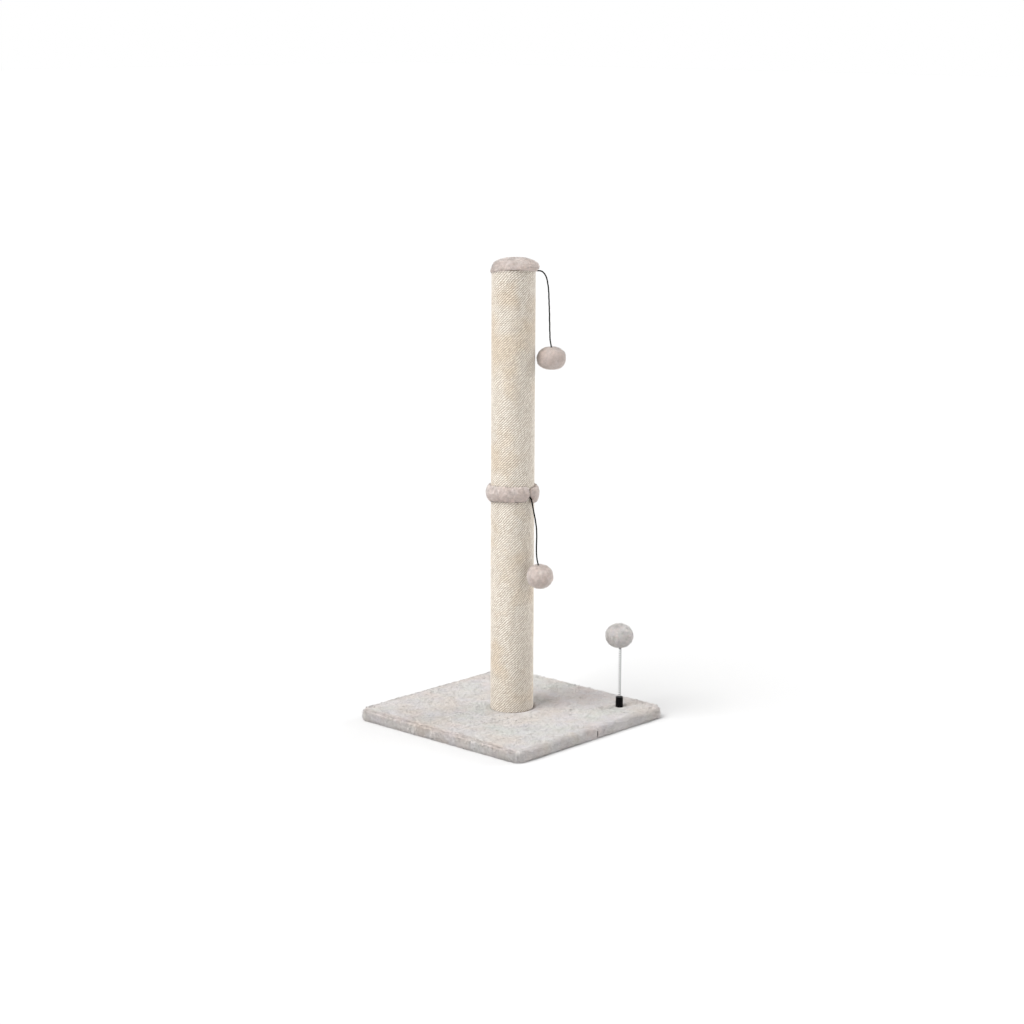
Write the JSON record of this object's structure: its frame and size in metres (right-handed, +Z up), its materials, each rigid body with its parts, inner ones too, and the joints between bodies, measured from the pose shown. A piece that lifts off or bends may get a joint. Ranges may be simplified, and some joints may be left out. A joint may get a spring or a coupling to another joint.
{
  "type": "cat scratching post",
  "caption": "Tall sisal-wrapped post on a square plush base, with a padded cap and collar, plush balls hung on elastic cords and a plush ball on a spring.",
  "frame": {"origin": "floor point under the centre of the base, on the axis of the post", "axes": "+Z up along the post, X and Y square to the sides of the base, the spring toy in the +X -Y corner"},
  "size_m": [0.4, 0.4, 0.8637],
  "materials": {
    "base_plush": "short mottled plush pile",
    "warm_plush": "short plush pile, pinkish beige",
    "sisal_rope": "twisted natural sisal, wound tight and glued",
    "elastic_cord": "braided elastic cord",
    "black_plastic": "moulded, satin",
    "spring_wire": "bright drawn wire",
    "plated_steel": "zinc plated",
    "board": "fibreboard",
    "plug_wood": "plain softwood",
    "cardboard": "spiral wound card",
    "lining": "thin non-woven cloth",
    "pad_rubber": "foam rubber pad",
    "foam": "soft foam",
    "fibre_filling": "polyester wadding"
  },
  "bodies": {
    "root": {"base_board": "board", "base_cover": "base_plush", "base_lining": "lining", "base_pads": "pad_rubber", "cover_staples": "plated_steel", "base_bolt": "plated_steel", "base_washer": "plated_steel", "lower_tube": "cardboard", "lower_rope": "sisal_rope", "lower_foot_plug": "plug_wood", "lower_head_plug": "plug_wood", "upper_tube": "cardboard", "upper_rope": "sisal_rope", "upper_foot_plug": "plug_wood", "upper_head_plug": "plug_wood", "tee_nuts": "plated_steel", "plug_tacks": "plated_steel", "joint_stud": "plated_steel", "collar_cover": "warm_plush", "collar_filling": "foam", "cap_disc": "plug_wood", "cap_pad": "foam", "cap_cover": "warm_plush", "cap_screws": "plated_steel", "cord_anchor_knots": "elastic_cord", "spring_holder": "black_plastic", "spring_screw": "plated_steel"},
    "upper_cord": {"upper_toy_cord": "elastic_cord"},
    "upper_ball": {"upper_toy_knot": "elastic_cord", "upper_toy_core": "fibre_filling", "upper_toy_cover": "warm_plush"},
    "lower_cord": {"lower_toy_cord": "elastic_cord"},
    "lower_ball": {"lower_toy_knot": "elastic_cord", "lower_toy_core": "fibre_filling", "lower_toy_cover": "warm_plush"},
    "spring": {"toy_spring": "spring_wire"},
    "spring_ball": {"spring_toy_plug": "black_plastic", "spring_toy_core": "fibre_filling", "spring_toy_cover": "warm_plush"}
  },
  "joints": [
    {"name": "upper_toy_sway", "type": "hinge", "parent": "root", "child": "upper_cord", "pos_m": [0.02828, -0.02828, 0.8394], "axis": [0.7071, -0.7071, 0], "range_deg": [-70, 70]},
    {"name": "upper_toy_swing", "type": "hinge", "parent": "upper_cord", "child": "upper_ball", "pos_m": [0.04879, -0.04879, 0.8], "axis": [-0.7071, -0.7071, 0], "range_deg": [-0.6, 70], "deforming": ["upper_toy_cord"]},
    {"name": "lower_toy_sway", "type": "hinge", "parent": "root", "child": "lower_cord", "pos_m": [-0.00209, -0.03995, 0.4289], "axis": [-0.0523, -0.9986, 0], "range_deg": [-70, 70]},
    {"name": "lower_toy_swing", "type": "hinge", "parent": "lower_cord", "child": "lower_ball", "pos_m": [-0.00361, -0.0689, 0.383], "axis": [-0.9986, 0.0523, 0], "range_deg": [-2.2, 70], "deforming": ["lower_toy_cord"]},
    {"name": "spring_tilt_x", "type": "hinge", "parent": "root", "child": "spring", "pos_m": [0.14, -0.145, 0.066], "axis": [1, 0, 0], "range_deg": [-45, 45], "stiffness_Nm_per_rad": 0.3, "deforming": ["toy_spring"]},
    {"name": "spring_tilt_y", "type": "hinge", "parent": "spring", "child": "spring_ball", "pos_m": [0.14, -0.145, 0.113], "axis": [0, 1, 0], "range_deg": [-45, 45], "stiffness_Nm_per_rad": 0.3, "deforming": ["toy_spring"]}
  ]
}
